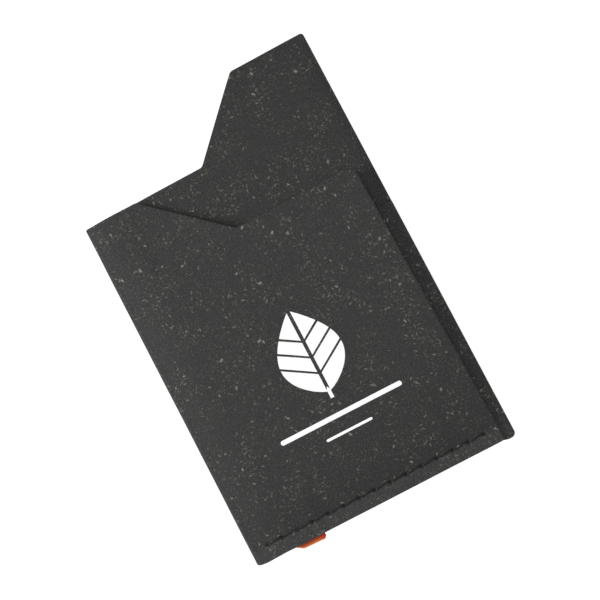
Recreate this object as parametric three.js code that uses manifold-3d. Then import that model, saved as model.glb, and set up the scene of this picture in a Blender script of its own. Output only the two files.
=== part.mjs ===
// Card holder folded from one sheet of bonded leather, lying on its back.
// Units: millimetres. +X to the right, +Y towards the tall tab, +Z out of the front.
// Outlines below are written in sheet coordinates (u to the right from the left fold,
// v up from the bottom edge) and are moved so that the origin is at the middle of the
// underside of the bounding box.
import * as THREE from 'three';
import { mergeVertices } from 'three/addons/utils/BufferGeometryUtils.js';
import Module from 'manifold-3d';

// ---------- driving dimensions ----------
const WIDTH = 65.0;          // left fold to right edge
const HEIGHT = 102.5;        // bottom edge to the top of the tall tab
const LEATHER = 1.0;         // leather thickness
const LAYER_GAP = 0.45;      // air between two pressed layers
const FOLD_H = 2.4;          // height of the left fold, where only two layers lie on each other
const RAMP_END = 10.5;       // the front has climbed over the flap by here
const SHOULDER_V = 86.06;    // top of the left half, front and back
const TAB_U0 = 30.55;        // where the shoulder turns into the slanted edge of the tab
const TAB_U1 = 46.46;        // where the slanted edge meets the top
const TAB_HINGE_V = 87.5;    // line about which the tall tab flexes
const FLAP_V = 59.0;         // top edge of the inner flap
const FLAP_U = 11.0;         // left end of the inner flap
const FRONT_TOP_V = 69.7;    // lower, straight part of the front's top edge
const NOTCH_U0 = 13.5;       // notch of the front starts at the shoulder
const NOTCH_U1 = 31.3;       // and ends on the straight part
const FRONT_U_BOTTOM = 62.3; // right edge of the front at the seam
const FRONT_U_TOP = 60.8;    // right edge of the front at its corner
const NODE_GAP = 0.3;        // gap between neighbouring regions of the leather

const STITCH_V = 3.4;        // stitch line above the bottom edge
const STITCH_U = 4.4;        // first hole
const STITCH_PITCH = 3.88;
const STITCH_HOLES = 15;
const STITCH_SLANT = 0.22;   // each run climbs this much either side of the line
const THREAD_D = 0.4;
const HOLE_D = 1.05;
const GROOVE_W = 1.5;
const GROOVE_BACK = 0.55;
const GROOVE_FRONT = 0.35;

const RIBBON_U0 = 9.6, RIBBON_W = 7.2, RIBBON_T = 0.3;
const RIBBON_PROUD = 1.3;    // how far the fold stands out of the bottom edge
const RIBBON_IN = 6.5;       // how far the plies reach into the seam

const CORNER_LIFT = 2.5;     // degrees the free corner stands up when left alone
// line about which the free corner bends: from just above the right end of the seam
// to the top of the left fold
const BEND_A = [63.0, 5.2], BEND_B = [2.7, 85.2];
const BEND_GAP = 0.25;       // half of the gap across the bend line

// ---------- levels ----------
const Z_BACK = 0;
const Z_FLAP = Z_BACK + LEATHER + LAYER_GAP;
const Z_FRONT = Z_FLAP + LEATHER + LAYER_GAP;
const Z_TOP = Z_FRONT + LEATHER;
// upper surface of the front: it leaves the fold and climbs over the end of the inner flap
function frontTop(u) {
  const t = Math.min(1, Math.max(0, (u - FOLD_H / 2) / (RAMP_END - FOLD_H / 2)));
  return FOLD_H + (Z_TOP - FOLD_H) * (1 - (1 - t) * (1 - t));
}

const X0 = -WIDTH / 2;
const Y0 = -(HEIGHT - RIBBON_PROUD) / 2;

const wasm = await Module();
wasm.setup();

// ---------- helpers ----------
function toSolid(geometry) {
  let g = geometry.clone();
  g.deleteAttribute('normal');
  g.deleteAttribute('uv');
  g = mergeVertices(g, 1e-4);
  const p = g.attributes.position.array;
  const idx = g.index.array;
  return new wasm.Manifold(new wasm.Mesh({
    numProp: 3,
    vertProperties: new Float32Array(p),
    triVerts: new Uint32Array(idx),
  }));
}

function toGeometry(solid) {
  const m = solid.getMesh();
  const g = new THREE.BufferGeometry();
  g.setAttribute('position', new THREE.BufferAttribute(new Float32Array(m.vertProperties), 3));
  g.setIndex(new THREE.BufferAttribute(new Uint32Array(m.triVerts), 1));
  g.computeVertexNormals();
  return g;
}

// closed outline whose corners are rounded: each entry is [u, v, radius]
function outline(points, steps = 5) {
  const out = [];
  const n = points.length;
  for (let i = 0; i < n; i++) {
    const [x, y, r = 0] = points[i];
    if (!r) { out.push(new THREE.Vector2(x, y)); continue; }
    const a = points[(i + n - 1) % n], b = points[(i + 1) % n];
    const c = new THREE.Vector2(x, y);
    const da = new THREE.Vector2(a[0] - x, a[1] - y).normalize();
    const db = new THREE.Vector2(b[0] - x, b[1] - y).normalize();
    const half = Math.acos(Math.max(-1, Math.min(1, da.dot(db)))) / 2;
    const cut = r / Math.tan(half);
    const p0 = c.clone().addScaledVector(da, cut);
    const p1 = c.clone().addScaledVector(db, cut);
    const mid = da.clone().add(db).normalize().multiplyScalar(r / Math.sin(half)).add(c);
    let a0 = Math.atan2(p0.y - mid.y, p0.x - mid.x);
    let a1 = Math.atan2(p1.y - mid.y, p1.x - mid.x);
    if (a1 - a0 > Math.PI) a1 -= 2 * Math.PI;
    if (a1 - a0 < -Math.PI) a1 += 2 * Math.PI;
    for (let k = 0; k <= steps; k++) {
      const t = a0 + (a1 - a0) * k / steps;
      out.push(new THREE.Vector2(mid.x + r * Math.cos(t), mid.y + r * Math.sin(t)));
    }
  }
  return new THREE.Shape(out);
}

// flat sheet of the given outline from z to z + thickness
function sheet(points, z, thickness = LEATHER) {
  const g = new THREE.ExtrudeGeometry(outline(points), { depth: thickness, bevelEnabled: false });
  g.translate(0, 0, z);
  return g;
}

// section drawn in (v or u, z) and extruded along the other direction of the sheet
function alongV(shape, v0, v1) {
  // shape is in (u, z)
  const g = new THREE.ExtrudeGeometry(shape, { depth: v1 - v0, bevelEnabled: false, curveSegments: 8 });
  g.rotateX(Math.PI / 2);       // (u, z, d) -> (u, -d, z)
  g.translate(0, v1, 0);
  return g;
}
function alongU(shape, u0, u1) {
  // shape is in (v, z)
  const g = new THREE.ExtrudeGeometry(shape, { depth: u1 - u0, bevelEnabled: false, curveSegments: 8 });
  g.applyMatrix4(new THREE.Matrix4().makeBasis(
    new THREE.Vector3(0, 1, 0), new THREE.Vector3(0, 0, 1), new THREE.Vector3(1, 0, 0)));
  g.translate(u0, 0, 0);
  return g;
}

const holes = [];
for (let i = 0; i < STITCH_HOLES; i++) holes.push(STITCH_U + i * STITCH_PITCH);

// round hole through every layer at each stitch
function punch(solid, u0 = -1, u1 = WIDTH + 1) {
  for (const u of holes) {
    if (u < u0 || u > u1) continue;
    const c = new THREE.CylinderGeometry(HOLE_D / 2, HOLE_D / 2, 12, 12);
    c.rotateX(Math.PI / 2);
    c.translate(u, STITCH_V, 2);
    solid = solid.subtract(toSolid(c));
  }
  return solid;
}
// shallow channel in which the runs of a thread lie
function groove(solid, z0, z1) {
  const g = new THREE.BoxGeometry(holes[STITCH_HOLES - 1] - holes[0] + 1.6, GROOVE_W, z1 - z0);
  g.translate((holes[STITCH_HOLES - 1] + holes[0]) / 2, STITCH_V, (z0 + z1) / 2);
  return solid.subtract(toSolid(g));
}

// half ring of leather, in (u, z): opening towards +u for side = 1, towards -u for side = -1
function foldSection(cu, cz, rOut, side, straight) {
  const rIn = rOut - LEATHER;
  const pts = [];
  const n = 10;
  pts.push(new THREE.Vector2(cu + side * straight, cz - rOut));
  for (let k = 0; k <= n; k++) {
    const a = -Math.PI / 2 - Math.PI * k / n;
    pts.push(new THREE.Vector2(cu + side * rOut * Math.cos(a), cz + rOut * Math.sin(a)));
  }
  pts.push(new THREE.Vector2(cu + side * straight, cz + rOut));
  pts.push(new THREE.Vector2(cu + side * straight, cz + rIn));
  for (let k = 0; k <= n; k++) {
    const a = Math.PI / 2 + Math.PI * k / n;
    pts.push(new THREE.Vector2(cu + side * rIn * Math.cos(a), cz + rIn * Math.sin(a)));
  }
  pts.push(new THREE.Vector2(cu + side * straight, cz - rIn));
  return new THREE.Shape(pts);
}

// ---------- materials ----------
const leather = new THREE.MeshStandardMaterial({ color: 0x3c3c3b, roughness: 0.72, metalness: 0 });
const leatherIn = new THREE.MeshStandardMaterial({ color: 0x383837, roughness: 0.8, metalness: 0 });
const black = new THREE.MeshStandardMaterial({ color: 0x1d1d1e, roughness: 0.55, metalness: 0 });
const orange = new THREE.MeshStandardMaterial({ color: 0xd9622a, roughness: 0.6, metalness: 0 });

const group = new THREE.Group();
const sheetGroup = new THREE.Group();   // sheet coordinates (u, v)
sheetGroup.position.set(X0, Y0, 0);
group.add(sheetGroup);
function add(name, geometry, material) {
  const mesh = new THREE.Mesh(geometry, material);
  mesh.name = name;
  sheetGroup.add(mesh);
  return mesh;
}

// ---------- back ----------
const FOLD_L_R = FOLD_H / 2;                            // left fold, front to back
const FOLD_R_R = (Z_FLAP + LEATHER - Z_BACK) / 2;       // right fold, back to flap
const U_L = FOLD_L_R + 0.2 + NODE_GAP;                  // back and front start here
const U_R = WIDTH - FOLD_R_R - 0.1 - NODE_GAP;          // and end here beside the right fold

const slopeAt = (v) => TAB_U0 + (v - SHOULDER_V) * (TAB_U1 - TAB_U0) / (HEIGHT - SHOULDER_V);

let back = toSolid(sheet([
  [U_L, 0], [U_R, 0], [U_R, FLAP_V + NODE_GAP], [WIDTH, FLAP_V + NODE_GAP],
  [WIDTH, TAB_HINGE_V - NODE_GAP / 2], [slopeAt(TAB_HINGE_V - NODE_GAP / 2), TAB_HINGE_V - NODE_GAP / 2],
  [TAB_U0, SHOULDER_V], [U_L, SHOULDER_V],
], Z_BACK));
back = groove(back, -1, GROOVE_BACK);
back = punch(back);
add('back_panel', toGeometry(back), leather);

// tall tab of the back panel
add('back_tab', sheet([
  [slopeAt(TAB_HINGE_V + NODE_GAP / 2), TAB_HINGE_V + NODE_GAP / 2], [WIDTH, TAB_HINGE_V + NODE_GAP / 2],
  [WIDTH, HEIGHT, 1.2], [TAB_U1, HEIGHT, 1.5],
], Z_BACK), leather);

// ---------- folds ----------
{
  // half ring, with its upper leg climbing at the slope with which the front starts
  const n = 12, cu = FOLD_L_R, cz = FOLD_L_R, rOut = FOLD_L_R, rIn = FOLD_L_R - LEATHER, uEnd = U_L - NODE_GAP;
  const pts = [new THREE.Vector2(uEnd, cz - rOut)];
  for (let k = 0; k <= n; k++) {
    const a = -Math.PI / 2 - Math.PI * k / n;
    pts.push(new THREE.Vector2(cu + rOut * Math.cos(a), cz + rOut * Math.sin(a)));
  }
  pts.push(new THREE.Vector2(uEnd, frontTop(uEnd)), new THREE.Vector2(uEnd, frontTop(uEnd) - LEATHER));
  for (let k = 0; k <= n; k++) {
    const a = Math.PI / 2 + Math.PI * k / n;
    pts.push(new THREE.Vector2(cu + rIn * Math.cos(a), cz + rIn * Math.sin(a)));
  }
  pts.push(new THREE.Vector2(uEnd, cz - rIn));
  add('left_fold', alongV(new THREE.Shape(pts), 0, SHOULDER_V), leather);
}
let rightFold = toSolid(alongV(foldSection(WIDTH - FOLD_R_R, FOLD_R_R, FOLD_R_R, -1, 0.1), 0, FLAP_V));
{
  // the bottom end of the right fold is rounded off when seen from the front
  const r = 1.3;
  const cutShape = new THREE.Shape([
    new THREE.Vector2(WIDTH - r, -1), new THREE.Vector2(WIDTH + 1, -1), new THREE.Vector2(WIDTH + 1, r),
    ...Array.from({ length: 9 }, (_, k) => {
      const a = -Math.PI / 2 * k / 8;
      return new THREE.Vector2(WIDTH - r + r * Math.cos(a), r + r * Math.sin(a));
    }),
  ]);
  const g = new THREE.ExtrudeGeometry(cutShape, { depth: 8, bevelEnabled: false });
  g.translate(0, 0, -2);
  rightFold = rightFold.subtract(toSolid(g));
}
add('right_fold', toGeometry(rightFold), leather);

// ---------- inner flap ----------
let flap = toSolid(sheet([
  [FLAP_U, 0, 1.5], [U_R, 0], [U_R, FLAP_V], [FLAP_U, FLAP_V, 3.0],
], Z_FLAP));
flap = punch(flap, FLAP_U + 0.6);
add('inner_flap', toGeometry(flap), leatherIn);

// ---------- front: one outline, parted along the bend line ----------
const frontOutline = [
  [U_L, 0], [FRONT_U_BOTTOM, 0, 1.0], [FRONT_U_TOP, FRONT_TOP_V, 2.8],
  [NOTCH_U1, FRONT_TOP_V, 1.6], [NOTCH_U0, SHOULDER_V, 1.6], [U_L, SHOULDER_V],
];
const bend = new THREE.Vector2(BEND_B[0] - BEND_A[0], BEND_B[1] - BEND_A[1]).normalize();
const bendAngle = Math.atan2(bend.y, bend.x);
// half space on one side of the bend line, as a large box whose one face is that line
function halfSpace(side) {
  const g = new THREE.BoxGeometry(400, 200, 40);
  // local +Y of the box is to the left of the line A -> B, which is the static side
  g.translate(0, side * (100 + BEND_GAP), 0);
  g.rotateZ(bendAngle);
  g.translate(BEND_A[0], BEND_A[1], 0);
  return toSolid(g);
}
// the whole front: a bent sheet seen along V, trimmed to the outline
function frontBlank() {
  const pts = [];
  const us = [];
  for (let k = 0; k <= 10; k++) us.push(U_L - 0.001 + (RAMP_END - U_L) * k / 10);
  us.push(FRONT_U_BOTTOM + 1);
  for (const u of us) pts.push(new THREE.Vector2(u, frontTop(u) - LEATHER));
  for (const u of us.slice().reverse()) pts.push(new THREE.Vector2(u, frontTop(u)));
  const strip = toSolid(alongV(new THREE.Shape(pts), -1, SHOULDER_V + 1));
  return strip.intersect(toSolid(sheet(frontOutline, -5, 20)));
}
let front = frontBlank().intersect(halfSpace(1));
{
  // the runs lie in a shallow channel that follows the climb of the front
  const us = [STITCH_U - 0.8, 5, 6, 7, 8, 9, 10, RAMP_END, holes[STITCH_HOLES - 1] + 0.8];
  const pts = us.map((u) => new THREE.Vector2(u, frontTop(u) - GROOVE_FRONT));
  pts.push(new THREE.Vector2(us[us.length - 1], Z_TOP + 3), new THREE.Vector2(us[0], Z_TOP + 3));
  front = front.subtract(toSolid(alongV(new THREE.Shape(pts), STITCH_V - GROOVE_W / 2, STITCH_V + GROOVE_W / 2)));
}
front = punch(front);
add('front_panel', toGeometry(front), leather);

{
  const corner = frontBlank().intersect(halfSpace(-1));
  const g = toGeometry(corner);
  // the free corner stands up a little about the bend line, at mid thickness
  const axis = new THREE.Vector3(bend.x, bend.y, 0);
  const zMid = Z_FRONT + LEATHER / 2;
  const m = new THREE.Matrix4().makeTranslation(BEND_A[0], BEND_A[1], zMid)
    .multiply(new THREE.Matrix4().makeRotationAxis(axis, THREE.MathUtils.degToRad(-CORNER_LIFT)))
    .multiply(new THREE.Matrix4().makeTranslation(-BEND_A[0], -BEND_A[1], -zMid));
  g.applyMatrix4(m);
  const probe = new THREE.Vector3(FRONT_U_TOP, FRONT_TOP_V, zMid).applyMatrix4(m);
  if (probe.z < zMid) throw new Error('free corner tilts the wrong way');
  g.computeVertexNormals();
  add('front_corner', g, leather);
}

// ---------- ribbon tab: two plies round the edge of the flap, fold outside ----------
{
  const cz = (Z_FLAP + Z_FLAP + LEATHER) / 2;
  const rOut = LEATHER / 2 + 0.1 + RIBBON_T, rIn = rOut - RIBBON_T;
  const cv = -RIBBON_PROUD + rOut;
  const pts = [new THREE.Vector2(RIBBON_IN, cz - rOut)];
  const n = 10, s = [];
  for (let k = 0; k <= n; k++) {
    const a = -Math.PI / 2 - Math.PI * k / n;
    s.push(new THREE.Vector2(cv + rOut * Math.cos(a), cz + rOut * Math.sin(a)));
  }
  pts.push(...s, new THREE.Vector2(RIBBON_IN, cz + rOut), new THREE.Vector2(RIBBON_IN, cz + rIn));
  for (let k = 0; k <= n; k++) {
    const a = Math.PI / 2 + Math.PI * k / n;
    pts.push(new THREE.Vector2(cv + rIn * Math.cos(a), cz + rIn * Math.sin(a)));
  }
  pts.push(new THREE.Vector2(RIBBON_IN, cz - rIn));
  let ribbon = toSolid(alongU(new THREE.Shape(pts.reverse()), RIBBON_U0, RIBBON_U0 + RIBBON_W));
  ribbon = punch(ribbon, RIBBON_U0, RIBBON_U0 + RIBBON_W);
  add('ribbon_tab', toGeometry(ribbon), orange);
}

// ---------- threads: slanted runs on the surface, a leg down each hole ----------
function bar(a, b, d, sides = 8) {
  const va = new THREE.Vector3(...a), vb = new THREE.Vector3(...b);
  const g = new THREE.CylinderGeometry(d / 2, d / 2, va.distanceTo(vb), sides);
  const q = new THREE.Quaternion().setFromUnitVectors(
    new THREE.Vector3(0, 1, 0), vb.clone().sub(va).normalize());
  g.applyQuaternion(q);
  const c = va.clone().add(vb).multiplyScalar(0.5);
  g.translate(c.x, c.y, c.z);
  return toSolid(g);
}
function thread(zRunAt, zEndAt) {
  let solid = null;
  const join = (s) => { solid = solid ? solid.add(s) : s; };
  for (let i = 0; i < STITCH_HOLES; i++) {
    const u = holes[i];
    const z = zRunAt(u);
    join(bar([u, STITCH_V, z], [u, STITCH_V, zEndAt(u)], THREAD_D));
    // the run leaves a hole on its lower side and reaches the next on its upper side
    join(bar([u, STITCH_V - STITCH_SLANT, z], [u, STITCH_V + STITCH_SLANT, z], THREAD_D));
    if (i < STITCH_HOLES - 1) {
      const u2 = holes[i + 1], um = (u + u2) / 2;
      // over the climb each run follows the channel in two straight lengths
      const zm = zRunAt(um);
      join(bar([u, STITCH_V - STITCH_SLANT, z], [um, STITCH_V, zm], THREAD_D));
      join(bar([um, STITCH_V, zm], [u2, STITCH_V + STITCH_SLANT, zRunAt(u2)], THREAD_D));
    }
  }
  return toGeometry(solid);
}
const zLock = (u) => (Z_BACK + frontTop(u)) / 2;
add('needle_thread', thread((u) => frontTop(u) - GROOVE_FRONT + 0.12 + THREAD_D / 2, (u) => zLock(u) + 0.1), black);
add('bobbin_thread', thread(() => 0.04 + THREAD_D / 2, (u) => zLock(u) - 0.1), black);

export default group;
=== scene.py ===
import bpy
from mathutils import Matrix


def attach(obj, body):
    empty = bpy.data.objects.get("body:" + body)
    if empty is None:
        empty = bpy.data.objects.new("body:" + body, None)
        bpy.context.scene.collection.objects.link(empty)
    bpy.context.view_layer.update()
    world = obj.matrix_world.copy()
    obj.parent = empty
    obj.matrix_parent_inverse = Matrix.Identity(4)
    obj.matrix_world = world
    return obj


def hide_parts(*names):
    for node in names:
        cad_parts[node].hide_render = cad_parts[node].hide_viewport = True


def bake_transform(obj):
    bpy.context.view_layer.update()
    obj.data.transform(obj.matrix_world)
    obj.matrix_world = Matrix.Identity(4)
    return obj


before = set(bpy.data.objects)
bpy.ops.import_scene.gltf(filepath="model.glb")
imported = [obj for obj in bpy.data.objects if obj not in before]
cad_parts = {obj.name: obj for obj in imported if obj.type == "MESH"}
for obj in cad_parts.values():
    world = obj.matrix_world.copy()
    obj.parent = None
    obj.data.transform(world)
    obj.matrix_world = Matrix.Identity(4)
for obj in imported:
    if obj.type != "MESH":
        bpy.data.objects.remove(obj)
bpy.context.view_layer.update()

import math

import bpy
import numpy as np
from mathutils import Matrix, Vector
from mathutils.geometry import delaunay_2d_cdt

MM = 0.001

# ------------------------------------------------------------------ dimensions, as in the CAD model (mm)
WIDTH, HEIGHT = 65.0, 102.5
T = 1.0
GAP = 0.45
FOLD_H, RAMP_END = 2.4, 10.5
SHOULDER = 86.06
TAB_U0, TAB_U1 = 30.55, 46.46
FLAP_V, FLAP_U = 59.0, 11.0
FRONT_TOP = 69.7
NOTCH_U0, NOTCH_U1 = 13.5, 31.3
FRONT_UB, FRONT_UT = 62.3, 60.8
PROUD = 1.3
X0, Y0 = -WIDTH / 2, -(HEIGHT - PROUD) / 2
Z_FLAP = T + GAP
Z_FRONT = Z_FLAP + T + GAP
Z_TOP = Z_FRONT + T
R_L = FOLD_H / 2 - T / 2           # left fold, middle of the leather
R_R = (Z_FLAP + T) / 2 - T / 2     # right fold, middle of the leather
CU_L, CZ_L = FOLD_H / 2, FOLD_H / 2
CU_R, CZ_R = WIDTH - (Z_FLAP + T) / 2, (Z_FLAP + T) / 2
CUT_U = 2.2                        # where the front piece of leather meets the back piece
BEND_A, BEND_B = np.array([63.0, 5.2]), np.array([2.7, 85.2])
BDIR = (BEND_B - BEND_A) / np.linalg.norm(BEND_B - BEND_A)
BNORM = np.array([BDIR[1], -BDIR[0]])      # points to the free corner
ST_V, ST_U, ST_P, ST_N = 3.4, 4.4, 3.88, 15
HOLES = [ST_U + i * ST_P for i in range(ST_N)]
S_L = CU_L - math.pi * R_L         # flat coordinate where the left fold meets the front
S_R0 = CU_R
S_R1 = CU_R + math.pi * R_R


def V(u, v, z):
    """sheet millimetres to the row frame in metres"""
    return Vector(((u + X0) * MM, (v + Y0) * MM, z * MM))


# ------------------------------------------------------------------ smooth deterministic noise
def _hash(ix, iy, seed):
    h = np.sin(ix * 127.1 + iy * 311.7 + seed * 74.7) * 43758.5453
    return h - np.floor(h)


def noise2(x, y, seed=0):
    ix, iy = np.floor(x), np.floor(y)
    fx, fy = x - ix, y - iy
    fx, fy = fx * fx * (3 - 2 * fx), fy * fy * (3 - 2 * fy)
    a = _hash(ix, iy, seed) * (1 - fx) + _hash(ix + 1, iy, seed) * fx
    b = _hash(ix, iy + 1, seed) * (1 - fx) + _hash(ix + 1, iy + 1, seed) * fx
    return (a * (1 - fy) + b * fy) * 2 - 1


def smooth(t):
    t = np.clip(t, 0, 1)
    return t * t * (3 - 2 * t)


# ------------------------------------------------------------------ form of the front panel
def bend_d(u, v):
    return (u - BEND_A[0]) * BNORM[0] + (v - BEND_A[1]) * BNORM[1]


def front_climb(u):
    """height of the front's upper side where it leaves the fold and climbs over the inner flap"""
    t = np.clip((u - CU_L) / (RAMP_END - CU_L), 0, 1)
    t0 = 0.05
    k = 2 * (1 - t0)
    f = np.where(t < t0, k * t * t / (2 * t0), k * t0 / 2 + (2 * (t - t0) - (t * t - t0 * t0)))
    f1 = k * t0 / 2 + (2 * (1 - t0) - (1 - t0 * t0))
    return FOLD_H + (Z_TOP - FOLD_H) * f / f1


def front_lift(u, v):
    """how far the front leather stands off its flat place"""
    d = np.maximum(bend_d(u, v), 0)
    z = 1.55 * (d / 37.0) ** 1.15
    # the right edge bows up a little more between its two ends
    z = z + 0.40 * smooth((u - 40) / 22) * smooth((v - 8) / 25) * smooth((76 - v) / 18)
    # the seam presses the layers together, and the pocket swells above it
    inner = smooth((u - 1.5) / 9)
    # ... less where the ribbon lies between them
    over_ribbon = smooth((u - 8.0) / 1.6) * smooth((18.4 - u) / 1.6)
    z = z - inner * (0.42 - 0.22 * over_ribbon) * np.exp(-((v - ST_V) / 3.2) ** 2)
    z = z + smooth((u - 1.5) / 26) * 0.55 * smooth((v - 4) / 15) * smooth((92 - v) / 40)
    # above the inner flap there is nothing to hold the front up, so it sinks towards the back at its top left
    z = z - 0.85 * smooth((v - 62) / 23) * (1 - smooth((u - 12) / 24)) * smooth((u - 1.5) / 11)
    # slow unevenness of the sheet
    z = z + 0.12 * noise2(u / 17.0, v / 17.0, 3) * smooth((u - 3) / 10)
    return z


def front_mid(u, v):
    return front_climb(u) - T / 2 + front_lift(u, v)


def stitch_dimple(u, v, side):
    """how far the thread pulls the surface in: side is +1 on the front, -1 on the back"""
    z = np.zeros_like(u)
    for h in HOLES:
        r2 = (u - h) ** 2 + ((v - ST_V) * 1.1) ** 2
        z -= 0.40 * np.exp(-r2 / 0.31 ** 2) + 0.12 * np.exp(-r2 / 0.75 ** 2)
    along = smooth((u - HOLES[0] + 0.3) / 0.6) * smooth((HOLES[-1] + 0.3 - u) / 0.6)
    k = np.clip((u - HOLES[0]) / ST_P, 0, ST_N - 1.0001)
    f = k - np.floor(k)
    line = ST_V + side * 0.26 * (2 * f - 1)
    groove = 0.11 if side > 0 else 0.20
    z -= along * (groove * np.exp(-((v - line) / 0.30) ** 2) + 0.05 * np.exp(-((v - ST_V) / 1.3) ** 2))
    return z


def map_front(s, v, w):
    """flat coordinates of the front piece (s, v, w off the middle of the leather) to sheet millimetres"""
    s, v, w = np.broadcast_arrays(np.asarray(s, float), v, w)
    u_front = CU_L + S_L - s
    dim = stitch_dimple(u_front, v, 1) * smooth(w / (T / 2))
    e = 0.2
    gu = (front_mid(u_front + e, v) - front_mid(u_front - e, v)) / (2 * e)
    gv = (front_mid(u_front, v + e) - front_mid(u_front, v - e)) / (2 * e)
    gu = gu * smooth((u_front - CU_L) / 0.5)
    gn = np.sqrt(1 + gu * gu + gv * gv)
    ww = w + dim
    xf, zf = u_front - gu / gn * ww, front_mid(u_front, v) + ww / gn
    yf = v - gv / gn * ww
    phi = (s - S_L) / R_L
    # the fold is pressed a little flatter than round, and swells slowly along its length
    press = 1.065 + 0.02 * noise2(v / 9.0, v * 0, 11)
    rr = R_L + w
    x_a = CU_L - rr * np.sin(phi) * press
    z_a = CZ_L + rr * np.cos(phi)
    # meet the lift of the front at the start of the fold
    z_a = z_a + front_lift(np.full_like(v, CU_L), v) * smooth(1 - phi / (math.pi / 2))
    xb, zb = s, T / 2 - w
    m1 = s < S_L
    m3 = s > CU_L
    x = np.where(m1, xf, np.where(m3, xb, x_a))
    z = np.where(m1, zf, np.where(m3, zb, z_a))
    return x, np.where(m1, yf, v), z


def back_wave(u, v):
    """slow unevenness of the back, and a slight curl of the tall tab"""
    z = 0.0 * u
    tab = smooth((v - 80) / 22)
    z = z + tab * (0.06 + 0.12 * noise2(u / 14.0, v / 14.0, 5))
    # the free edges roll down a little: the right one most
    up = smooth((v - FLAP_V) / 7) * smooth((u - 6) / 14)
    r = np.maximum(WIDTH + 0.12 - u, 0)
    z = z + up * (0.50 * (1 - np.exp(-r / 1.5)))
    z = z - tab * 0.36 * np.exp(-np.maximum(HEIGHT - v, 0) / 2.0) * (1 - np.exp(-r / 1.5))
    return np.maximum(z, 0)


def map_back(s, v, w):
    s, v, w = np.broadcast_arrays(np.asarray(s, float), v, w)
    dim = stitch_dimple(s, v, -1) * smooth(w / (T / 2))
    xb, zb = s, T / 2 - w + back_wave(s, v) - dim
    phi = (s - S_R0) / R_R
    # creased nearly flat, so the turn is squarer than a half circle
    sq = 4.2
    k = (np.abs(np.sin(phi)) ** sq + np.abs(np.cos(phi)) ** sq + 1e-9) ** (-1 / sq)
    rr = R_R + w
    x_a = CU_R + rr * k * np.sin(phi) * (1 + 0.10 * np.abs(np.sin(phi)))
    z_a = CZ_R - rr * k * np.cos(phi)
    u_f = CU_R - (s - S_R1)
    zf = Z_FLAP + T / 2 + w + 0.05 * noise2(u_f / 15.0, v / 15.0, 8) * smooth((s - S_R1) / 6) - 0.1 * smooth((8 - v) / 6) * smooth((s - S_R1) / 4)
    folded = (v < FLAP_V + 0.015) | ((s > WIDTH + 0.13) & (v < FLAP_V + 0.5))
    m1 = (s <= S_R0) | ~folded
    m3 = folded & (s > S_R1)
    x = np.where(m1, xb, np.where(m3, u_f, x_a))
    z = np.where(m1, zb, np.where(m3, zf, z_a))
    return x, v, z


# ------------------------------------------------------------------ outlines
def rounded(points, step=0.35, wob=0.0, seed=1):
    """closed outline with rounded corners, sampled evenly: points are (x, y, radius)"""
    out = []
    n = len(points)
    for i in range(n):
        x, y, r = points[i]
        a, b = points[i - 1], points[(i + 1) % n]
        c = np.array([x, y])
        da = np.array([a[0] - x, a[1] - y]); da = da / np.linalg.norm(da)
        db = np.array([b[0] - x, b[1] - y]); db = db / np.linalg.norm(db)
        half = math.acos(max(-1, min(1, float(da @ db)))) / 2
        if r <= 0:
            out.append(c)
            continue
        cut = r / math.tan(half)
        p0, p1 = c + da * cut, c + db * cut
        mid = da + db
        mid = c + mid / np.linalg.norm(mid) * r / math.sin(half)
        a0 = math.atan2(*(p0 - mid)[::-1])
        a1 = math.atan2(*(p1 - mid)[::-1])
        if a1 - a0 > math.pi: a1 -= 2 * math.pi
        if a1 - a0 < -math.pi: a1 += 2 * math.pi
        k = max(4, int(abs(a1 - a0) * r / 0.12))
        for j in range(k + 1):
            t = a0 + (a1 - a0) * j / k
            out.append(mid + r * np.array([math.cos(t), math.sin(t)]))
    pts = []
    m = len(out)
    for i in range(m):
        p, q = out[i], out[(i + 1) % m]
        L = np.linalg.norm(q - p)
        k = max(1, int(math.ceil(L / step)))
        for j in range(k):
            pts.append(p + (q - p) * j / k)
    pts = np.array(pts)
    keep = [0]
    for i in range(1, len(pts)):
        if np.linalg.norm(pts[i] - pts[keep[-1]]) > 0.02:
            keep.append(i)
    return pts[keep]


def inward(pts):
    """unit normals pointing into a counter-clockwise outline"""
    nxt, prv = np.roll(pts, -1, 0), np.roll(pts, 1, 0)
    t = nxt - prv
    t /= np.linalg.norm(t, axis=1)[:, None]
    return np.stack([-t[:, 1], t[:, 0]], 1)


def area(pts):
    x, y = pts[:, 0], pts[:, 1]
    return 0.5 * np.sum(x * np.roll(y, -1) - y * np.roll(x, -1))


def inside(q, pts):
    res = np.zeros(len(q), bool)
    x, y = q[:, 0], q[:, 1]
    j = len(pts) - 1
    for i in range(len(pts)):
        xi, yi = pts[i]; xj, yj = pts[j]
        if (yi > yj) != (yj > yi) or yi != yj:
            c = ((yi > y) != (yj > y)) & (x < (xj - xi) * (y - yi) / (yj - yi + 1e-30) + xi)
            res ^= c
        j = i
    return res


def dist_to(q, pts):
    """distance of each point to the closed outline"""
    a, b = pts, np.roll(pts, -1, 0)
    ab = b - a
    L2 = (ab ** 2).sum(1)
    out = np.full(len(q), 1e9)
    for k in range(0, len(q), 4000):
        p = q[k:k + 4000]
        ap = p[:, None, :] - a[None]
        t = np.clip((ap * ab[None]).sum(2) / L2[None], 0, 1)
        d = ap - t[:, :, None] * ab[None]
        out[k:k + 4000] = np.sqrt((d ** 2).sum(2).min(1))
    return out


# ------------------------------------------------------------------ a sheet of leather with real thickness
EDGE_R = 0.20     # rounding of a cut edge on the grain side
LOOPS = (0.03, 0.08, 0.14, 0.22, 0.45)


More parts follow.
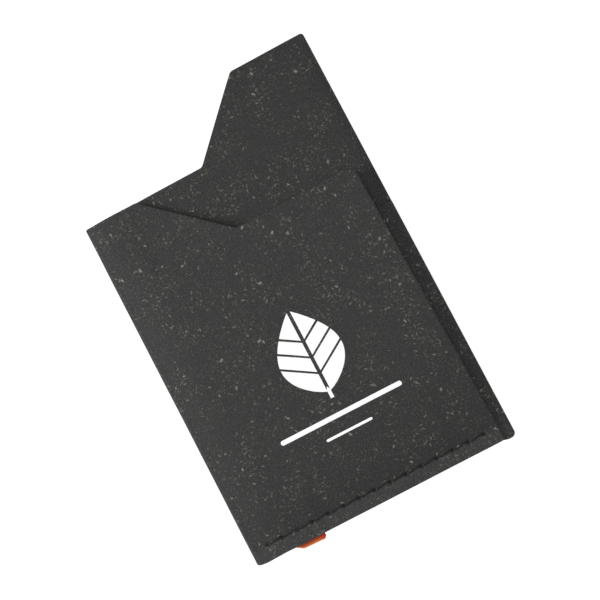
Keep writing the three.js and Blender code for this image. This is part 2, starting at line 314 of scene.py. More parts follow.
def build_sheet(name, pts, grid, mapping, sheet_u, open_line=None, slit=None):
    """closed body of leather over an outline in flat coordinates. open_line is an s value where the
    outline is a plain cut against the neighbouring piece of leather, so its rim isn't rounded there.
    slit is the short cut between the right fold and the free edge above it."""
    if area(pts) < 0:
        pts = pts[::-1].copy()
    nb = len(pts)
    nin = inward(pts)
    loops = [pts + nin * d for d in LOOPS]
    g = grid[inside(grid, pts)]
    g = g[dist_to(g, pts) > 0.62]
    verts = np.concatenate([pts] + loops + [g])
    faces_in = [list(range(nb))]
    ov, oe, of_, orig_v, _, _ = delaunay_2d_cdt([Vector(p) for p in verts], [], faces_in, 1, 1e-6)
    q = np.array([tuple(p) for p in ov])
    tri = np.array([f for f in of_ if len(f) == 3], int)
    a, b, c = q[tri[:, 0]], q[tri[:, 1]], q[tri[:, 2]]
    ar = np.cross(b - a, c - a)
    tri = tri[np.abs(ar) > 1e-9]
    ar = ar[np.abs(ar) > 1e-9]
    tri[ar < 0] = tri[ar < 0][:, ::-1]
    # boundary vertices in order
    where = {}
    for i, o in enumerate(orig_v):
        for k in o:
            where[k] = i
    ring = np.array([where[i] for i in range(nb)])
    d = dist_to(q, pts)
    d[ring] = 0
    h = T / 2
    rim = np.clip(d, 0, EDGE_R)
    drop = EDGE_R - np.sqrt(np.maximum(EDGE_R ** 2 - (EDGE_R - rim) ** 2, 0))
    drop_in = 0.35 * drop
    if open_line is not None:
        near = smooth((np.abs(q[:, 0] - open_line) - 0.02) / 0.5)
        drop, drop_in = drop * near, drop_in * near
    nq = len(q)
    top = np.stack([q[:, 0], q[:, 1], h - drop], 1)
    bot = np.stack([q[:, 0], q[:, 1], -h + drop_in], 1)
    # side wall rows between the two rims, slightly uneven like a die-cut edge
    rows = 3
    wall = []
    rp = q[ring]
    outn = -inward(rp)
    arc = np.concatenate([[0], np.cumsum(np.linalg.norm(np.diff(rp, axis=0), axis=1))])
    for k in range(1, rows + 1):
        f = k / (rows + 1)
        w0 = top[ring, 2] * (1 - f) + bot[ring, 2] * f
        amp = 0.03 * noise2(arc / 0.8, np.full_like(arc, k * 3.7), 21) + 0.02 * noise2(arc / 0.35, np.full_like(arc, k * 5.1), 22)
        if open_line is not None:
            amp = amp * smooth((np.abs(rp[:, 0] - open_line) - 0.02) / 0.4)
        if slit is not None:
            amp = amp * np.where((rp[:, 0] > slit[0]) & (rp[:, 0] < slit[1]) & (np.abs(rp[:, 1] - slit[2]) < 0.2), 0, 1)
        wall.append(np.stack([rp[:, 0] + outn[:, 0] * amp, rp[:, 1] + outn[:, 1] * amp, w0], 1))
    flat = np.concatenate([top, bot] + wall)
    faces = [tuple(t) for t in tri] + [tuple(t[::-1] + nq) for t in tri]
    rings = [ring] + [np.arange(nb) + 2 * nq + k * nb for k in range(rows)] + [ring + nq]
    for r0, r1 in zip(rings[:-1], rings[1:]):
        for i in range(nb):
            j = (i + 1) % nb
            faces.append((int(r0[i]), int(r1[i]), int(r1[j]), int(r0[j])))
    x, y, z = mapping(flat[:, 0], flat[:, 1], flat[:, 2])
    co = np.stack([(x + X0) * MM, (y + Y0) * MM, z * MM], 1)
    me = bpy.data.meshes.new(name)
    me.from_pydata([tuple(p) for p in co], [], [tuple(int(i) for i in f) for f in faces])
    me.validate()
    at = me.attributes.new("flat_mm", "FLOAT_VECTOR", "POINT")
    fl = flat.copy()
    # grain side and flesh side don't share one pattern
    fl[:, 0] += np.where(flat[:, 2] < -T / 2 + 0.1, 160.0, 0.0)
    at.data.foreach_set("vector", fl.astype(np.float32).ravel())
    at = me.attributes.new("seam_mm", "FLOAT_VECTOR", "POINT")
    sm = np.stack([sheet_u(flat[:, 0]), flat[:, 1], flat[:, 2]], 1)
    at.data.foreach_set("vector", sm.astype(np.float32).ravel())
    dd = np.concatenate([d, d, np.zeros(rows * nb)])
    at = me.attributes.new("edge_mm", "FLOAT", "POINT")
    at.data.foreach_set("value", dd.astype(np.float32))
    for p in me.polygons:
        p.use_smooth = True
    me.update()
    # keep the rim of the cut edge crisp
    ob = bpy.data.objects.new(name, me)
    bpy.context.scene.collection.objects.link(ob)
    import bmesh
    bm = bmesh.new()
    bm.from_mesh(me)
    bmesh.ops.recalc_face_normals(bm, faces=bm.faces)
    for e in bm.edges:
        if len(e.link_faces) == 2 and e.calc_face_angle(0) > math.radians(38):
            e.smooth = False
    bm.to_mesh(me)
    bm.free()
    me.update()
    return ob


def hexgrid(x0, x1, y0, y1, step):
    ys = np.arange(y0, y1, step * 0.866)
    out = []
    for i, y in enumerate(ys):
        xs = np.arange(x0 + (i % 2) * step / 2, x1, step)
        out.append(np.stack([xs, np.full_like(xs, y)], 1))
    return np.concatenate(out)


def lattice(s_fine, s_lo, s_hi, v_hi, fold0, fold1, nfold, stitch_s):
    """points for the inside of a sheet: coarse on the flats, fine at the folds and round the stitches"""
    base = hexgrid(s_lo, s_hi, 0.3, v_hi, s_fine)
    keep = ~((base[:, 0] > fold0 - 0.9) & (base[:, 0] < fold1 + 0.9))
    a, b = stitch_s
    keep &= ~((base[:, 0] > a) & (base[:, 0] < b) & (base[:, 1] > 1.6) & (base[:, 1] < 5.2))
    base = base[keep]
    fs = np.concatenate([[fold0 - 0.45], np.linspace(fold0, fold1, nfold + 1), [fold1 + 0.45]])
    vv = np.arange(0.5, v_hi, 0.7)
    fold = np.array([[s, v] for s in fs for v in vv])
    st = hexgrid(a + 0.1, b - 0.1, 1.7, 5.1, 0.17)
    far = np.abs(st[:, 1] - ST_V) > 0.95
    thin = hexgrid(a + 0.1, b - 0.1, 1.7, 5.1, 0.34)
    thin = thin[np.abs(thin[:, 1] - ST_V) > 0.95]
    st = np.concatenate([st[~far], thin])
    return np.concatenate([base, fold, st])


def sl(u):
    """flat coordinate of the front at a distance u from the left side"""
    return S_L - (u - CU_L)


APEX_L = (S_L + CU_L) / 2
front_pts = rounded([
    (CUT_U, 0, 0), (CUT_U, SHOULDER - 0.02, 0), (sl(1.6), SHOULDER - 0.22, 1.0), (sl(NOTCH_U0), SHOULDER - 0.36, 0.9),
    (sl(NOTCH_U1), FRONT_TOP, 1.5), (sl(FRONT_UT), FRONT_TOP, 2.8), (sl(FRONT_UB), 0.26, 0.9),
    (sl(9.5), 0.04, 0.8), (sl(7.4), 0.02, 0.5), (sl(5.2), -0.09, 0.5), (sl(3.6), -0.20, 0.5), (sl(2.2), -0.28, 0.4),
    (APEX_L - 0.98, -0.20, 0.2), (APEX_L - 0.59, -0.08, 0.2), (APEX_L, 0.10, 0.2), (APEX_L + 0.59, 0.08, 0.2),
    (APEX_L + 0.98, 0.05, 0.2), (APEX_L + 1.5, 0.02, 0.2)])
front_grid = lattice(0.85, sl(FRONT_UB) , CUT_U, SHOULDER, S_L, CU_L, 26, (sl(HOLES[-1] + 1.2), sl(HOLES[0] - 1.2)))
leather_front = build_sheet("leather_front", front_pts, front_grid, map_front, lambda q: CU_L + S_L - q, open_line=CUT_U)

slope = lambda v: TAB_U0 + (v - SHOULDER) * (TAB_U1 - TAB_U0) / (HEIGHT - SHOULDER)
flap_end = S_R1 + (CU_R - FLAP_U)
back_pts = rounded([
    (CUT_U, 0, 0), (60.8, 0.08, 1.0), (62.6, -0.26, 0.5), (S_R0 + 0.35, -0.20, 0.5),
    ((S_R0 + S_R1) / 2, 0.98, 0.5), (S_R1 - 0.35, -0.20, 0.5), (S_R1 + 0.6, -0.24, 0.5), (S_R1 + 2.4, 0.22, 0.8),
    (flap_end, 0.22, 1.4), (flap_end, FLAP_V, 3.0), (S_R0 + 0.01, FLAP_V, 0), (S_R0 + 0.01, FLAP_V + 0.03, 0),
    (WIDTH + 0.12, FLAP_V + 0.03, 0), (WIDTH + 0.12, HEIGHT, 0.75), (TAB_U1, HEIGHT, 1.3), (TAB_U0, SHOULDER, 1.4),
    (CUT_U, SHOULDER, 0)])
back_grid = np.concatenate([
    lattice(0.95, CUT_U, flap_end, HEIGHT, S_R0, S_R1, 18, (HOLES[0] - 1.2, HOLES[-1] + 1.2))])
leather_back = build_sheet("leather_back", back_pts, back_grid, map_back, lambda q: q, open_line=CUT_U,
                           slit=(S_R0 - 0.2, WIDTH + 1.0, FLAP_V))


# ------------------------------------------------------------------ threads
def tube(path, radius, sides=8, cap=True):
    """closed tube round a smooth path of points (mm), returns vertices and faces"""
    p = np.array(path)
    t = np.gradient(p, axis=0)
    t /= np.linalg.norm(t, axis=1)[:, None]
    up = np.tile(np.array([0.0, 0.0, 1.0]), (len(p), 1))
    side = np.cross(t, up)
    bad = np.linalg.norm(side, axis=1) < 0.2
    side[bad] = np.cross(t[bad], np.array([0, 1.0, 0]))
    side /= np.linalg.norm(side, axis=1)[:, None]
    nrm = np.cross(side, t)
    r = np.broadcast_to(radius, (len(p),))
    vs = []
    for i in range(len(p)):
        for k in range(sides):
            a = 2 * math.pi * k / sides
            vs.append(p[i] + r[i] * (math.cos(a) * side[i] + math.sin(a) * nrm[i]))
    fs = []
    for i in range(len(p) - 1):
        for k in range(sides):
            a, b = i * sides + k, i * sides + (k + 1) % sides
            fs.append((a, a + sides, b + sides, b))
    fs.append(tuple(range(sides)))
    fs.append(tuple((len(p) - 1) * sides + k for k in range(sides))[::-1])
    return vs, fs


def stitch_runs(side):
    """centre lines of the surface runs of one thread"""
    runs = []
    for i in range(ST_N - 1):
        a, b = HOLES[i], HOLES[i + 1]
        n = 46
        f = np.linspace(0, 1, n)
        u = a + (b - a) * (0.045 + 0.91 * f)
        v = ST_V + side * 0.26 * (2 * f - 1) * (1 + 0.12 * math.sin(i * 2.1)) + 0.03 * math.sin(i * 1.3 + 0.4)
        dive = 0.62 * (np.exp(-(f / 0.085) ** 2) + np.exp(-((1 - f) / 0.085) ** 2))
        runs.append((u, v, dive))
    return runs


def make_thread(name, side):
    vs, fs = [], []
    for i, (u, v, dive) in enumerate(stitch_runs(side)):
        if side > 0:
            _, _, z = map_front(sl(u), v, np.full_like(u, T / 2))
        else:
            _, _, z = map_back(u, v, np.full_like(u, T / 2))
        # level of the pulled-in surface, without the deep pits at the holes
        f = np.linspace(0, 1, len(u))
        mid = (f > 0.2) & (f < 0.8)
        base = np.interp(f, f[mid], z[mid])
        zc = base + side * (0.06 - dive)
        c = np.stack([u, v, zc], 1)
        t = np.gradient(c, axis=0); t /= np.linalg.norm(t, axis=1)[:, None]
        sd = np.cross(t, [0, 0, 1.0]); sd /= np.maximum(np.linalg.norm(sd, axis=1)[:, None], 1e-6)
        nn = np.cross(sd, t)
        L = np.concatenate([[0], np.cumsum(np.linalg.norm(np.diff(c, axis=0), axis=1))])
        for ply in range(3):
            ph = L / 0.80 * 2 * math.pi + ply * 2 * math.pi / 3 + i
            q = c + 0.082 * (np.cos(ph)[:, None] * sd + np.sin(ph)[:, None] * nn)
            full = 0.092 * (0.72 + 0.42 * f ** 1.6 + 0.10 * math.sin(i * 2.7 + 1.1))
            v2, f2 = tube(q, full, 7)
            o = len(vs)
            vs += v2
            fs += [tuple(x + o for x in g) for g in f2]
    co = [V(*p) for p in vs]
    me = bpy.data.meshes.new(name)
    me.from_pydata(co, [], fs)
    me.validate()
    for p in me.polygons:
        p.use_smooth = True
    ob = bpy.data.objects.new(name, me)
    bpy.context.scene.collection.objects.link(ob)
    return ob


needle = make_thread("needle_thread_stitches", 1)
bobbin = make_thread("bobbin_thread_stitches", -1)


# ------------------------------------------------------------------ ribbon tab
def make_ribbon():
    u0, u1 = 9.6, 16.8
    nu, thick = 44, 0.26
    zc = 1.85
    # section: lower ply in, round the fold, upper ply in; arc from 0 to 1
    V_IN, v_c = 6.3, 0.05
    vs_prof = []
    for k in range(14):
        f = k / 13
        vs_prof.append((V_IN + (v_c - V_IN) * f, -1.0, 0))
    for k in range(1, 20):
        a = math.pi * k / 20
        vs_prof.append((v_c, -math.cos(a), math.sin(a)))
    for k in range(14):
        f = k / 13
        vs_prof.append((v_c + (V_IN - v_c) * f, 1.0, 0))
    nv = len(vs_prof)
    mid = np.zeros((nu + 1, nv, 3))
    flat = np.zeros((nu + 1, nv, 2))
    for i in range(nu + 1):
        f = i / nu
        u = u0 + (u1 - u0) * f
        # the fold was not made square: it stands further out towards the right
        out = PROUD + 0.05
        out *= float(smooth((f + 0.06) / 0.34)) * (0.86 + 0.14 * f)
        out *= 1 - 0.35 * float(smooth((f - 0.93) / 0.07)) * (1 if f > 0.93 else 0)
        hgt = 0.68 + 0.02 * math.sin(f * 4.0 + 0.5)
        L = 0
        for j, (pv, pz, po) in enumerate(vs_prof):
            vv = pv - max(out, 0.02) * po
            zz = zc + pz * (hgt + 0.02)
            uu = u + 0.18 * po * (1 if f > 0.5 else -0.2) * abs(2 * f - 1) ** 3
            mid[i, j] = (uu, vv, zz)
            if j:
                L += float(np.linalg.norm(mid[i, j, 1:] - mid[i, j - 1, 1:]))
            flat[i, j] = (f * 7.2, L)
        # measured from the fold, so the painted highlight on the fold and the painted shade away from it sit in place
        flat[i, :, 1] -= L / 2
    # offset both ways along the normal
    du = np.gradient(mid, axis=0)
    dv = np.gradient(mid, axis=1)
    n = np.cross(du, dv)
    n /= np.linalg.norm(n, axis=2)[:, :, None]
    vs, fl = [], []
    edge = np.ones((nu + 1, nv))
    for i in range(nu + 1):
        e = min(i, nu - i)
        edge[i, :] = {0: 0.35, 1: 0.85}.get(e, 1.0)
    for sgn in (1, -1):
        for i in range(nu + 1):
            for j in range(nv):
                vs.append(mid[i, j] + sgn * n[i, j] * thick / 2 * edge[i, j])
                fl.append((flat[i, j][0], flat[i, j][1], sgn * 0.5))
    N = (nu + 1) * nv
    idx = lambda i, j, s: i * nv + j + (0 if s > 0 else N)
    fs = []
    for i in range(nu):
        for j in range(nv - 1):
            fs.append((idx(i, j, 1), idx(i + 1, j, 1), idx(i + 1, j + 1, 1), idx(i, j + 1, 1)))
            fs.append((idx(i, j, -1), idx(i, j + 1, -1), idx(i + 1, j + 1, -1), idx(i + 1, j, -1)))
    for j in range(nv - 1):
        fs.append((idx(0, j, 1), idx(0, j + 1, 1), idx(0, j + 1, -1), idx(0, j, -1)))
        fs.append((idx(nu, j, 1), idx(nu, j, -1), idx(nu, j + 1, -1), idx(nu, j + 1, 1)))
    for i in range(nu):
        fs.append((idx(i, 0, 1), idx(i, 0, -1), idx(i + 1, 0, -1), idx(i + 1, 0, 1)))
        fs.append((idx(i, nv - 1, 1), idx(i + 1, nv - 1, 1), idx(i + 1, nv - 1, -1), idx(i, nv - 1, -1)))
    me = bpy.data.meshes.new("ribbon_tab_weave")
    me.from_pydata([V(*p) for p in vs], [], fs)
    me.validate()
    at = me.attributes.new("flat_mm", "FLOAT_VECTOR", "POINT")
    at.data.foreach_set("vector", np.array(fl, np.float32).ravel())
    for p in me.polygons:
        p.use_smooth = True
    ob = bpy.data.objects.new("ribbon_tab_weave", me)
    bpy.context.scene.collection.objects.link(ob)
    import bmesh
    bm = bmesh.new(); bm.from_mesh(me)
    bmesh.ops.recalc_face_normals(bm, faces=bm.faces)
    bm.to_mesh(me); bm.free()
    return ob


ribbon = make_ribbon()


# ------------------------------------------------------------------ printed mark: a plain leaf and two plain bars
def film(name, outlines, step=0.55):
    """thin film of ink that follows the surface of the front. outlines are closed (u, v) outlines"""
    vs, fs, flats = [], [], []
    for pts in outlines:
        pts = np.array(pts)
        if area(pts) < 0:
            pts = pts[::-1].copy()
        nb = len(pts)
        lo, hi = pts.min(0), pts.max(0)
        g = hexgrid(lo[0], hi[0], lo[1], hi[1], step)
        g = g[inside(g, pts)]
        if len(g):
            g = g[dist_to(g, pts) > step * 0.45]
        allv = np.concatenate([pts, g]) if len(g) else pts
        ov, oe, of_, orig_v, _, _ = delaunay_2d_cdt([Vector(p) for p in allv], [], [list(range(nb))], 1, 1e-6)
        q = np.array([tuple(p) for p in ov])
        where = {}
        for i, o in enumerate(orig_v):
            for k in o:
                where[k] = i
        ring = [where[i] for i in range(nb)]
        tri = []
        for f in of_:
            if len(f) != 3:
                continue
            a, b, c = q[f[0]], q[f[1]], q[f[2]]
            ar = (b[0] - a[0]) * (c[1] - a[1]) - (b[1] - a[1]) * (c[0] - a[0])
            if abs(ar) < 1e-9:
                continue
            tri.append(tuple(f) if ar > 0 else tuple(f)[::-1])
        x, y, z = map_front(sl(q[:, 0]), q[:, 1], np.full(len(q), T / 2))
        o = len(vs)
        n = len(q)
        for k in range(n):
            vs.append(V(x[k], y[k], z[k] + 0.028))
        for k in range(n):
            vs.append(V(x[k], y[k], z[k] - 0.03))
        for k in range(n):
            flats.append((q[k][0], q[k][1], 1.0))
        for k in range(n):
            flats.append((q[k][0], q[k][1], 0.0))
        for t in tri:
            fs.append(tuple(o + i for i in t))
            fs.append(tuple(o + n + i for i in t[::-1]))
        for i in range(nb):
            j = (i + 1) % nb
            a, b = ring[i], ring[j]
            fs.append((o + a, o + n + a, o + n + b, o + b))
    me = bpy.data.meshes.new(name)
    me.from_pydata(vs, [], fs)
    me.validate()
    at = me.attributes.new("flat_mm", "FLOAT_VECTOR", "POINT")
    at.data.foreach_set("vector", np.array(flats, np.float32).ravel())
    ob = bpy.data.objects.new(name, me)
    bpy.context.scene.collection.objects.link(ob)
    import bmesh
    bm = bmesh.new(); bm.from_mesh(me)
    bmesh.ops.recalc_face_normals(bm, faces=bm.faces)
    for e in bm.edges:
        e.smooth = e.calc_face_angle(0) < math.radians(35)
    for f in bm.faces:
        f.smooth = True
    bm.to_mesh(me); bm.free()
    return ob


def resample(pts, step=0.3):
    pts = np.array(pts, float)
    out = []
    for i in range(len(pts)):
        p, q = pts[i], pts[(i + 1) % len(pts)]
        k = max(1, int(math.ceil(np.linalg.norm(q - p) / step)))
        for j in range(k):
            out.append(p + (q - p) * j / k)
    return np.array(out)


def leaf_outlines():
    """a plain leaf cut into segments by its vein and side veins"""
    cx, y0, y1, half = 32.9, 27.6, 47.7, 7.6
    L = y1 - y0
    def edge(f, g):
        # half width of the leaf at height fraction f
        return half * (math.sin(math.pi * f ** 0.82) ** 0.9 if 0 < f < 1 else 0.0)
    segs = []
    cuts = [0.0, 0.235, 0.43, 0.625, 1.0]
    gap = 0.55
    rise = 0.62            # side veins climb outwards
    for side in (-1, 1):
        for k in range(len(cuts) - 1):
            a, b = cuts[k], cuts[k + 1]
            lo = y0 + a * L + (gap / 2 if k else 0)
            hi = y0 + b * L - (gap / 2 if k < len(cuts) - 2 else 0)
            # walk the outline of the segment: along the vein, out along a side vein, back along the leaf's edge
            poly = []
            n = 60
            x_in = 0.42
            ys = np.linspace(y0 + 0.004 * L, y1 - 0.004 * L, 400)
            outer = np.array([[edge((y - y0) / L, 0), y] for y in ys])
            def keep(x, y):
                low = lo + rise * (x - x_in) if k else -1e9
                high = hi + rise * (x - x_in) if k < len(cuts) - 2 else 1e9
                return low <= y <= high
            pts_o = [(x, y) for x, y in outer if x > x_in and keep(x, y)]
            if not pts_o:
                continue
            top_y = hi if k < len(cuts) - 2 else pts_o[-1][1]
            bot_y = lo if k else pts_o[0][1]
            poly = [(x_in, bot_y)] + pts_o + [(x_in, top_y)]
            poly = np.array(poly)
            poly[:, 0] = cx + side * poly[:, 0]
            segs.append(resample(poly, 0.4))
    # stalk
    segs.append(resample([(cx - 0.42, 26.0), (cx + 0.42, 26.0), (cx + 0.42, y0 + 0.4), (cx, y0 + 1.2), (cx - 0.42, y0 + 0.4)], 0.4))
    return segs


def bar(u0, u1, v0, v1):
    r = (v1 - v0) / 2
    pts = rounded([(u0, v0, r * 0.98), (u1, v0, r * 0.98), (u1, v1, r * 0.98), (u0, v1, r * 0.98)], 0.4)
    return pts


mark_lines = [bar(17.8, 48.0, 21.5, 22.6), bar(27.2, 38.6, 17.7, 18.3)]
mark = film("printed_mark", leaf_outlines() + mark_lines)


# ------------------------------------------------------------------ materials
class Nodes:
    def __init__(self, name):
        self.mat = bpy.data.materials.new(name)
        self.mat.use_nodes = True
        self.t = self.mat.node_tree
        self.t.nodes.clear()
        self.out = self.t.nodes.new("ShaderNodeOutputMaterial")
        self.bsdf = self.t.nodes.new("ShaderNodeBsdfPrincipled")
        self.t.links.new(self.bsdf.outputs[0], self.out.inputs[0])

    def new(self, kind, **props):
        n = self.t.nodes.new(kind)
        for k, v in props.items():
            setattr(n, k, v)
        return n

    def link(self, a, b):
        self.t.links.new(a, b)

    def math(self, op, a, b=None, c=None, clamp=False):
        n = self.new("ShaderNodeMath", operation=op, use_clamp=clamp)
        for i, x in enumerate((a, b, c)):
            if x is None:
                continue
            if isinstance(x, (int, float)):
                n.inputs[i].default_value = x
            else:
                self.link(x, n.inputs[i])
        return n.outputs[0]

    def vmath(self, op, a, b=None, scale=None):
        n = self.new("ShaderNodeVectorMath", operation=op)
        for i, x in enumerate((a, b)):
            if x is None:
                continue
            if isinstance(x, (tuple, list)):
                n.inputs[i].default_value = x
            else:
                self.link(x, n.inputs[i])
        if scale is not None:
            if isinstance(scale, (int, float)):
                n.inputs["Scale"].default_value = scale
            else:
                self.link(scale, n.inputs["Scale"])
        return n.outputs["Value"] if op in ("LENGTH", "DOT_PRODUCT", "DISTANCE") else n.outputs["Vector"]

    def attr(self, name):
        n = self.new("ShaderNodeAttribute", attribute_name=name)
        return n

    def noise(self, vec, scale, detail=2.0, rough=0.5, distortion=0.0, out="Fac"):
        n = self.new("ShaderNodeTexNoise")
        self.link(vec, n.inputs["Vector"])
        n.inputs["Scale"].default_value = scale
        n.inputs["Detail"].default_value = detail
        n.inputs["Roughness"].default_value = rough
        n.inputs["Distortion"].default_value = distortion
        return n.outputs[out]

    def ramp(self, fac, lo, hi, a=0.0, b=1.0, smoothstep=True):
        n = self.new("ShaderNodeMapRange")
        n.interpolation_type = "SMOOTHSTEP" if smoothstep else "LINEAR"
        n.clamp = True if not smoothstep else True
        self.link(fac, n.inputs["Value"]) if not isinstance(fac, (int, float)) else None
        n.inputs["From Min"].default_value = lo
        n.inputs["From Max"].default_value = hi
        n.inputs["To Min"].default_value = a
        n.inputs["To Max"].default_value = b
        return n.outputs["Result"]

    def mix(self, fac, a, b, blend="MIX"):
        n = self.new("ShaderNodeMix", data_type="RGBA", blend_type=blend)
        n.clamp_factor = True
        if isinstance(fac, (int, float)):
            n.inputs[0].default_value = fac
        else:
            self.link(fac, n.inputs[0])
        for i, x in ((6, a), (7, b)):
            if isinstance(x, (tuple, list)):
                n.inputs[i].default_value = (*x[:3], 1.0)
            else:
                self.link(x, n.inputs[i])
        return n.outputs[2]

    def flecks(self, vec, cell, a, b, present, cluster=None, cluster_gain=0.0, seed=0.0, soft=0.35, curl=1.0):
        """mask of small bent fibres lying in the sheet, each turned its own way. a and b are half lengths in mm"""
        shifted = self.vmath("ADD", vec, (seed, seed * 0.7, 0.0))
        vo = self.new("ShaderNodeTexVoronoi", voronoi_dimensions="2D", feature="F1")
        self.link(shifted, vo.inputs["Vector"])
        vo.inputs["Scale"].default_value = 1.0 / cell
        vo.inputs["Randomness"].default_value = 1.0
        local = self.vmath("MULTIPLY", self.vmath("SUBTRACT", shifted, vo.outputs["Position"]), (1.0, 1.0, 0.0))
        sep = self.new("ShaderNodeSeparateColor")
        self.link(vo.outputs["Color"], sep.inputs[0])
        rot = self.new("ShaderNodeVectorRotate", rotation_type="Z_AXIS")
        self.link(local, rot.inputs["Vector"])
        self.link(self.math("MULTIPLY", sep.outputs[1], 12.566), rot.inputs["Angle"])
        scaled = self.vmath("MULTIPLY", rot.outputs[0], (1.0 / a, 1.0 / b, 0.0))
        xyz = self.new("ShaderNodeSeparateXYZ"); self.link(scaled, xyz.inputs[0])
        x2 = self.math("MULTIPLY", xyz.outputs[0], xyz.outputs[0])
        bend = self.math("MULTIPLY", self.math("SUBTRACT", sep.outputs[0], 0.5), 2.6 * curl)
        y = self.math("MULTIPLY_ADD", self.math("SUBTRACT", x2, 0.35), bend, xyz.outputs[1])
        rel2 = self.math("ADD", x2, self.math("MULTIPLY", y, y))
        size = self.math("MULTIPLY_ADD", sep.outputs[2], 0.75, 0.60)
        rel = self.math("DIVIDE", self.math("SQRT", rel2), size)
        body = self.ramp(rel, 1.0 + soft, 1.0 - soft, 0.0, 1.0)
        rnd = self.math("FRACT", self.math("MULTIPLY", sep.outputs[0], 7.31))
        if cluster is not None:
            rnd = self.math("ADD", rnd, self.math("MULTIPLY", self.math("SUBTRACT", cluster, 0.5), cluster_gain))
        on = self.ramp(rnd, 1.0 - present - 0.10, 1.0 - present + 0.10, 0.0, 1.0)
        return self.math("MULTIPLY", body, on), sep


def leather_material():
    m = Nodes("bonded_leather_charcoal")
    flat = m.attr("flat_mm").outputs["Vector"]
    edge = m.attr("edge_mm").outputs["Fac"]
    # fibres wander, so the flecks aren't clean ellipses
    w = m.new("ShaderNodeTexNoise"); m.link(flat, w.inputs["Vector"])
    w.inputs["Scale"].default_value = 2.6; w.inputs["Detail"].default_value = 2.0
    warp = m.vmath("SCALE", m.vmath("SUBTRACT", w.outputs["Color"], (0.5, 0.5, 0.5)), scale=0.22)
    p = m.vmath("ADD", flat, warp)
    cl1 = m.noise(flat, 0.15, 4.0, 0.62)
    cl2 = m.noise(m.vmath("ADD", flat, (31.0, 17.0, 5.0)), 0.30, 2.0, 0.6)

    mottle = m.noise(flat, 0.55, 5.0, 0.62)
    fine = m.noise(flat, 2.1, 4.0, 0.7)
    base = m.mix(m.ramp(mottle, 0.3, 0.7), (0.0145, 0.01465, 0.0148), (0.0189, 0.0190, 0.0188))
    base = m.mix(m.ramp(fine, 0.38, 0.72), base, (0.0285, 0.0284, 0.0277))
    low = m.new("ShaderNodeSeparateXYZ"); m.link(m.attr("seam_mm").outputs["Vector"], low.inputs[0])
    calm = m.ramp(low.outputs[1], 3.7, 2.9, 1.0, 0.62)
    # dense dim dust of short fibres
    f1, s1 = m.flecks(p, 0.50, 0.17, 0.095, 0.46, cl2, 1.2, 3.1, 0.45, 0.4)
    dust = m.mix(s1.outputs[2], (0.032, 0.0315, 0.0290), (0.054, 0.0525, 0.0460))
    base = m.mix(m.math("MULTIPLY", f1, 0.80), base, dust)
    # olive fibres, in clusters
    f2, s2 = m.flecks(p, 0.80, 0.26, 0.095, 0.24, cl1, 3.0, 11.7, 0.6, 0.5)
    olive = m.mix(s2.outputs[1], (0.060, 0.0575, 0.040), (0.100, 0.095, 0.073))
    base = m.mix(m.math("MULTIPLY", f2, m.math("MULTIPLY", calm, 0.90)), base, olive)
    # a dim haze of torn fibre where the olive ones gather
    haze = m.math("MULTIPLY", m.ramp(m.noise(p, 0.95, 3.0, 0.6), 0.50, 0.72), m.ramp(cl1, 0.44, 0.66))
    base = m.mix(m.math("MULTIPLY", haze, 0.34), base, (0.058, 0.056, 0.043))
    # pale fibres
    f3, s3 = m.flecks(p, 1.25, 0.30, 0.125, 0.20, cl1, 2.8, 23.9, 0.6, 0.5)
    pale = m.mix(s3.outputs[1], (0.080, 0.0785, 0.070), (0.165, 0.161, 0.142))
    base = m.mix(m.math("MULTIPLY", f3, m.math("MULTIPLY", calm, 0.90)), base, pale)
    # few bright ones and few reddish ones
    f4, _ = m.flecks(p, 4.2, 0.36, 0.19, 0.21, cl1, 1.8, 41.3, 0.55, 0.3)
    base = m.mix(m.math("MULTIPLY", f4, m.math("MULTIPLY", calm, 0.90)), base, (0.225, 0.218, 0.188))
    f5, _ = m.flecks(p, 5.4, 0.34, 0.15, 0.20, None, 0, 57.7, 0.35, 0.3)
    base = m.mix(m.math("MULTIPLY", f5, 0.45), base, (0.10, 0.056, 0.042))
    # painted light: the margin outside the seam, pressed smooth, is painted paler as a highlight, and the leather just
    # above the seam is painted a touch darker as shade on the slope of the swelling pocket, fading out upwards
    seam = m.new("ShaderNodeSeparateXYZ"); m.link(m.attr("seam_mm").outputs["Vector"], seam.inputs[0])
    su, sv = seam.outputs[0], seam.outputs[1]
    tone_and_painted_light = m.math("ADD", m.ramp(sv, 3.5, 2.8, 0.0, 0.30), m.ramp(sv, 3.5, 22.0, 0.940, 0.988))
    # painted highlight: the left fold, where it turns towards the light, is painted a little paler
    tone_and_painted_light = m.math("ADD", tone_and_painted_light, m.ramp(su, 1.9, 0.3, 0.0, 0.24))
    # painted shade: darker round each needle hole, where shade falls into the pit
    k = m.math("SUBTRACT", m.math("FRACT", m.math("MULTIPLY_ADD", su, 1 / ST_P, 0.5 - ST_U / ST_P)), 0.5)
    du = m.math("MULTIPLY", k, ST_P)
    dv = m.math("SUBTRACT", sv, ST_V)
    rad = m.math("SQRT", m.math("ADD", m.math("MULTIPLY", du, du), m.math("MULTIPLY", dv, dv)))
    rad = m.math("ADD", rad, m.math("MULTIPLY", m.math("SUBTRACT", m.noise(flat, 1.9, 2.0, 0.5), 0.5), 0.9))
    within = m.math("MULTIPLY", m.ramp(su, HOLES[0] - 1.0, HOLES[0] - 0.8), m.ramp(su, HOLES[-1] + 1.0, HOLES[-1] + 0.8))
    hole_shade = m.math("MULTIPLY", m.ramp(rad, 0.50, 0.16, 0.0, 0.52), within)
    tone_and_painted_light = m.math("MULTIPLY", tone_and_painted_light, m.math("SUBTRACT", 1.0, hole_shade))
    # grain of the ground between the fibres
    tone_and_painted_light = m.math("MULTIPLY", tone_and_painted_light, m.ramp(m.noise(flat, 4.2, 2.0, 0.6), 0.32, 0.68, 0.50, 1.30, False))
    toned = m.new("ShaderNodeVectorMath", operation="SCALE")
    m.link(base, toned.inputs[0]); m.link(tone_and_painted_light, toned.inputs["Scale"])
    base = toned.outputs["Vector"]
